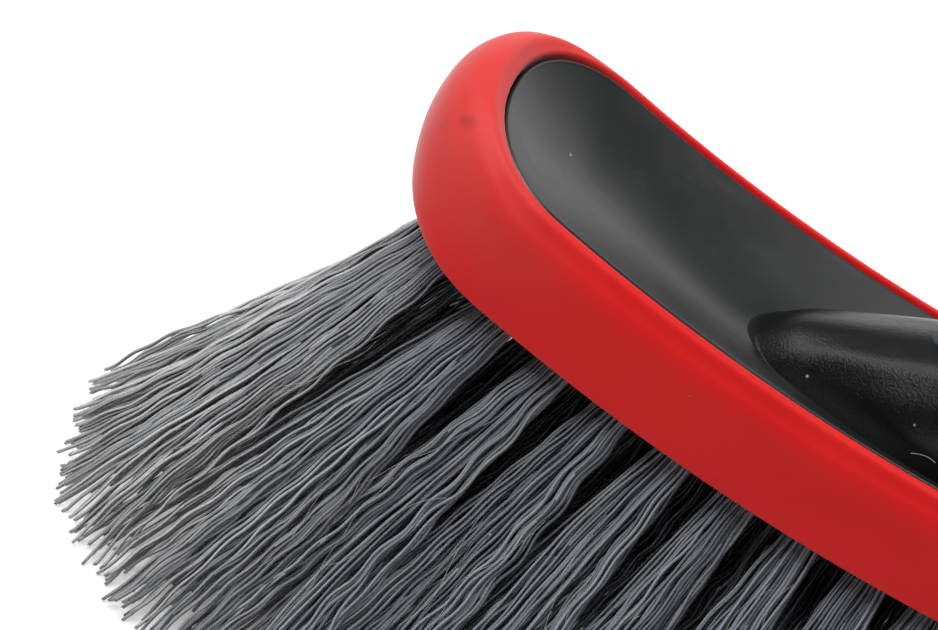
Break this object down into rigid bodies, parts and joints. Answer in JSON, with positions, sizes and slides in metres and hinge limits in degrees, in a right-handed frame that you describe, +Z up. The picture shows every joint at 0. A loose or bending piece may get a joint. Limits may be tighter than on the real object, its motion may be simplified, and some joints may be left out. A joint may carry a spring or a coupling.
{
  "type": "hand brush",
  "caption": "Hand-held cleaning brush: arched black head with a soft red ring round it, staggered crimped grey tufts below, and a round handle with a soft inlay and a hanging slot.",
  "frame": {"origin": "middle of the bounding box at the height of the bristle tips, which the brush stands on", "axes": "+X along the head towards the end of the handle, +Y across the head, +Z up away from the bristle tips"},
  "size_m": [0.3694, 0.084, 0.1578],
  "materials": {
    "black_plastic": "satin moulded polypropylene",
    "red_soft_rubber": "satin thermoplastic rubber",
    "dark_soft_rubber": "matt thermoplastic rubber",
    "grey_bristle": "crimped filament with a faint sheen"
  },
  "bodies": {
    "root": {"brush_body": "black_plastic", "bumper": "red_soft_rubber", "grip_inlay": "dark_soft_rubber", "tuft_middle_01": "grey_bristle", "tuft_middle_02": "grey_bristle", "tuft_middle_03": "grey_bristle", "tuft_middle_04": "grey_bristle", "tuft_middle_05": "grey_bristle", "tuft_middle_06": "grey_bristle", "tuft_middle_07": "grey_bristle", "tuft_middle_08": "grey_bristle", "tuft_middle_09": "grey_bristle", "tuft_middle_10": "grey_bristle", "tuft_middle_11": "grey_bristle", "tuft_middle_12": "grey_bristle", "tuft_middle_13": "grey_bristle", "tuft_middle_14": "grey_bristle", "tuft_middle_15": "grey_bristle", "tuft_middle_16": "grey_bristle", "tuft_middle_17": "grey_bristle", "tuft_middle_18": "grey_bristle", "tuft_near_01": "grey_bristle", "tuft_near_02": "grey_bristle", "tuft_near_03": "grey_bristle", "tuft_near_04": "grey_bristle", "tuft_near_05": "grey_bristle", "tuft_near_06": "grey_bristle", "tuft_near_07": "grey_bristle", "tuft_near_08": "grey_bristle", "tuft_near_09": "grey_bristle", "tuft_near_10": "grey_bristle", "tuft_near_11": "grey_bristle", "tuft_near_12": "grey_bristle", "tuft_near_13": "grey_bristle", "tuft_near_14": "grey_bristle", "tuft_near_15": "grey_bristle", "tuft_near_16": "grey_bristle", "tuft_near_17": "grey_bristle", "tuft_far_01": "grey_bristle", "tuft_far_02": "grey_bristle", "tuft_far_03": "grey_bristle", "tuft_far_04": "grey_bristle", "tuft_far_05": "grey_bristle", "tuft_far_06": "grey_bristle", "tuft_far_07": "grey_bristle", "tuft_far_08": "grey_bristle", "tuft_far_09": "grey_bristle", "tuft_far_10": "grey_bristle", "tuft_far_11": "grey_bristle", "tuft_far_12": "grey_bristle", "tuft_far_13": "grey_bristle", "tuft_far_14": "grey_bristle", "tuft_far_15": "grey_bristle", "tuft_far_16": "grey_bristle", "tuft_far_17": "grey_bristle", "tuft_front_near": "grey_bristle", "tuft_front_far": "grey_bristle", "tuft_grip_near": "grey_bristle", "tuft_grip_far": "grey_bristle"}
  },
  "joints": []
}
